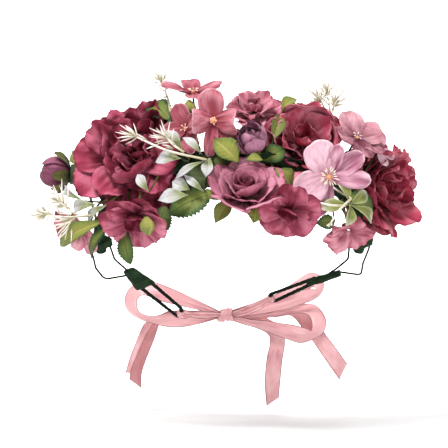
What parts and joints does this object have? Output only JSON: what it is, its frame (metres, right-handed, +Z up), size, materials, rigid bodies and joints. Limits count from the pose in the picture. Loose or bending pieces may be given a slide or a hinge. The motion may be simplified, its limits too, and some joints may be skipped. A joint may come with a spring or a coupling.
{
  "type": "flower crown",
  "caption": "Flower crown: cloth peonies, roses, small blossoms and leaves tied to a wire band, open at the back, with taped eyelets and a pink ribbon bow.",
  "frame": {"origin": "centre of the band's ring, where the wearer's head goes", "axes": "+X towards the wearer's left, +Y towards the back of the head, +Z up; the band stands 37 degrees higher at the front than at the back"},
  "size_m": [0.2645, 0.2111, 0.2451],
  "materials": {
    "wire": "thin green plastic coat on steel wire, satin",
    "floral_tape": "crinkled waxed crepe tape, dark green, matt",
    "satin_ribbon": "pale pink satin, glossy face, matt back",
    "petals_burgundy": "pressed polyester cloth, burgundy rose, thin dark edges",
    "petals_coral": "pressed polyester cloth, coral red",
    "petals_dusty_rose": "pressed polyester cloth, dusty rose",
    "petals_mauve": "pressed polyester cloth, lilac mauve",
    "petals_pale_mauve": "pressed polyester cloth, pale mauve pink",
    "stamens": "moulded soft plastic, peach",
    "calyx_green": "moulded soft plastic, olive green",
    "leaf_dark": "printed polyester cloth, dark green",
    "leaf_lime": "printed polyester cloth, lime to olive green",
    "leaf_frosted": "printed cloth, olive base fading to a frosted white tip",
    "spray_ivory": "moulded soft plastic, ivory"
  },
  "bodies": {
    "crown": {"frame_wire_inner": "wire", "frame_wire_outer": "wire", "stem_bundle": "floral_tape", "binding_wraps": "floral_tape", "peony_left_calyx": "calyx_green", "peony_left_outer_petals": "petals_burgundy", "peony_left_inner_petals": "petals_burgundy", "peony_centre_calyx": "calyx_green", "peony_centre_outer_petals": "petals_burgundy", "peony_centre_inner_petals": "petals_burgundy", "peony_right_calyx": "calyx_green", "peony_right_outer_petals": "petals_coral", "peony_right_inner_petals": "petals_coral", "rose_calyx": "calyx_green", "rose_outer_petals": "petals_dusty_rose", "rose_inner_petals": "petals_dusty_rose", "ranunculus_calyx": "calyx_green", "ranunculus_petals": "petals_mauve", "blossom_low_left": "petals_dusty_rose", "blossom_left_end": "petals_dusty_rose", "blossom_low_centre": "petals_dusty_rose", "blossom_low_right": "petals_dusty_rose", "blossom_top": "petals_dusty_rose", "hydrangea_front": "petals_pale_mauve", "hydrangea_upper_right": "petals_pale_mauve", "hydrangea_far_right": "petals_mauve", "hydrangea_left": "petals_dusty_rose", "hydrangea_top": "petals_dusty_rose", "hydrangea_mid_left": "petals_dusty_rose", "hydrangea_stamens": "stamens", "small_stems": "calyx_green", "serrated_leaves": "leaf_dark", "young_leaves": "leaf_lime", "frosted_leaves": "leaf_frosted", "sepal_rosette": "leaf_frosted", "green_buds": "leaf_lime", "sprays_fixed": "spray_ivory"},
    "arm_left": {"end_wires_left": "wire", "tape_joint_left": "floral_tape", "eyelet_left": "floral_tape", "ribbon_strand_left": "satin_ribbon"},
    "arm_right": {"end_wires_right": "wire", "tape_joint_right": "floral_tape", "eyelet_right": "floral_tape", "ribbon_strand_right": "satin_ribbon"},
    "bow": {"bow_knot": "satin_ribbon", "tail_leads": "satin_ribbon"},
    "bow_left": {"bow_loop_left": "satin_ribbon"},
    "bow_right": {"bow_loop_right_upper": "satin_ribbon", "bow_loop_right_lower": "satin_ribbon"},
    "tail_left_front": {"tail_left_front": "satin_ribbon"},
    "tail_left_back": {"tail_left_back": "satin_ribbon"},
    "tail_middle": {"tail_middle": "satin_ribbon"},
    "tail_right": {"tail_right": "satin_ribbon"},
    "rose_bud": {"rose_bud_calyx": "calyx_green", "rose_bud_petals": "petals_mauve"},
    "spray_top_left": {"spray_top_left": "spray_ivory"},
    "spray_top_right": {"spray_top_right": "spray_ivory"}
  },
  "joints": [
    {"name": "end_left_bend", "type": "hinge", "parent": "crown", "child": "arm_left", "pos_m": [-0.092, 0.00942, -0.0071], "axis": [0, 0.6018, 0.7986], "range_deg": [-2.5, 2.5]},
    {"name": "end_right_bend", "type": "hinge", "parent": "crown", "child": "arm_right", "pos_m": [0.092, 0.00942, -0.0071], "axis": [0, 0.6018, 0.7986], "range_deg": [-2.5, 2.5]},
    {"name": "bow_slide", "type": "slide", "parent": "crown", "child": "bow", "axis": [0, 0.7986, -0.6018], "range_m": [-0.004, 0.004]},
    {"name": "bow_left_flex", "type": "hinge", "parent": "bow", "child": "bow_left", "pos_m": [-0.0106, 0.0815, -0.0563], "axis": [0, 1, 0], "range_deg": [-6, 6], "stiffness_Nm_per_rad": 0.05},
    {"name": "bow_right_flex", "type": "hinge", "parent": "bow", "child": "bow_right", "pos_m": [0.0034, 0.084, -0.057], "axis": [0, 1, 0], "range_deg": [-6, 6], "stiffness_Nm_per_rad": 0.08},
    {"name": "tail_left_front_swing", "type": "hinge", "parent": "bow", "child": "tail_left_front", "pos_m": [-0.0567, 0.0939, -0.0647], "axis": [1, 0, 0], "range_deg": [-25, 0]},
    {"name": "tail_left_back_swing", "type": "hinge", "parent": "bow", "child": "tail_left_back", "pos_m": [-0.0585, 0.0951, -0.0647], "axis": [1, 0, 0], "range_deg": [0, 50]},
    {"name": "tail_middle_swing", "type": "hinge", "parent": "bow", "child": "tail_middle", "pos_m": [0.0362, 0.0939, -0.0797], "axis": [1, 0, 0], "range_deg": [-18, 50]},
    {"name": "tail_right_swing", "type": "hinge", "parent": "bow", "child": "tail_right", "pos_m": [0.0673, 0.0939, -0.0741], "axis": [1, 0, 0], "range_deg": [-12, 50]},
    {"name": "bud_stem_bend", "type": "hinge", "parent": "crown", "child": "rose_bud", "pos_m": [-0.09139, -0.00847, 0.00639], "axis": [0.1153, -0.7933, 0.5978], "range_deg": [-15, 15]},
    {"name": "spray_left_flex", "type": "hinge", "parent": "crown", "child": "spray_top_left", "pos_m": [-0.04, -0.064, 0.086], "axis": [0, 1, 0], "range_deg": [-10, 10], "stiffness_Nm_per_rad": 0.004},
    {"name": "spray_right_flex", "type": "hinge", "parent": "crown", "child": "spray_top_right", "pos_m": [0.069, -0.032, 0.077], "axis": [0, 1, 0], "range_deg": [-10, 10], "stiffness_Nm_per_rad": 0.006}
  ],
  "couplings": [
    {"joint": "end_left_bend", "follows": "bow_slide", "rad_per_m": 10.87},
    {"joint": "end_right_bend", "follows": "bow_slide", "rad_per_m": -10.87}
  ]
}
